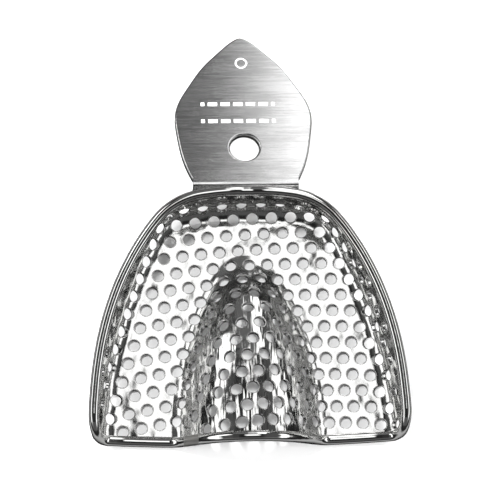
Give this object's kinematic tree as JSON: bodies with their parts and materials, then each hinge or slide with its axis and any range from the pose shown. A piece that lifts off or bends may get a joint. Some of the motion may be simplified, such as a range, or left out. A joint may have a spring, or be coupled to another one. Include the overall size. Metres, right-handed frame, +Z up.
{
  "type": "impression tray",
  "caption": "Perforated metal dental impression tray for the upper jaw, with a raised palate, a wire rim all round and a spade-shaped handle with a hole.",
  "frame": {"origin": "centre of the whole tray's box in plan, at the level of the table that it lies on", "axes": "+Y forwards along the middle, from the back edge over the palate towards the handle's tip; +Z up, out of the trough; +X to the right seen from above with the handle at the top"},
  "size_m": [0.0636, 0.0855, 0.0135],
  "materials": {
    "sheet_steel": "pressed perforated sheet, bright with soft ripples",
    "wire_steel": "polished round wire",
    "braze": "filed silver braze, satin",
    "handle_steel": "brushed across, with plain etched marks",
    "weld": "as welded"
  },
  "bodies": {
    "root": {"tray_shell": "sheet_steel", "rim_wire": "wire_steel", "rim_braze_joint": "braze", "handle": "handle_steel", "spot_welds": "weld"}
  },
  "joints": []
}
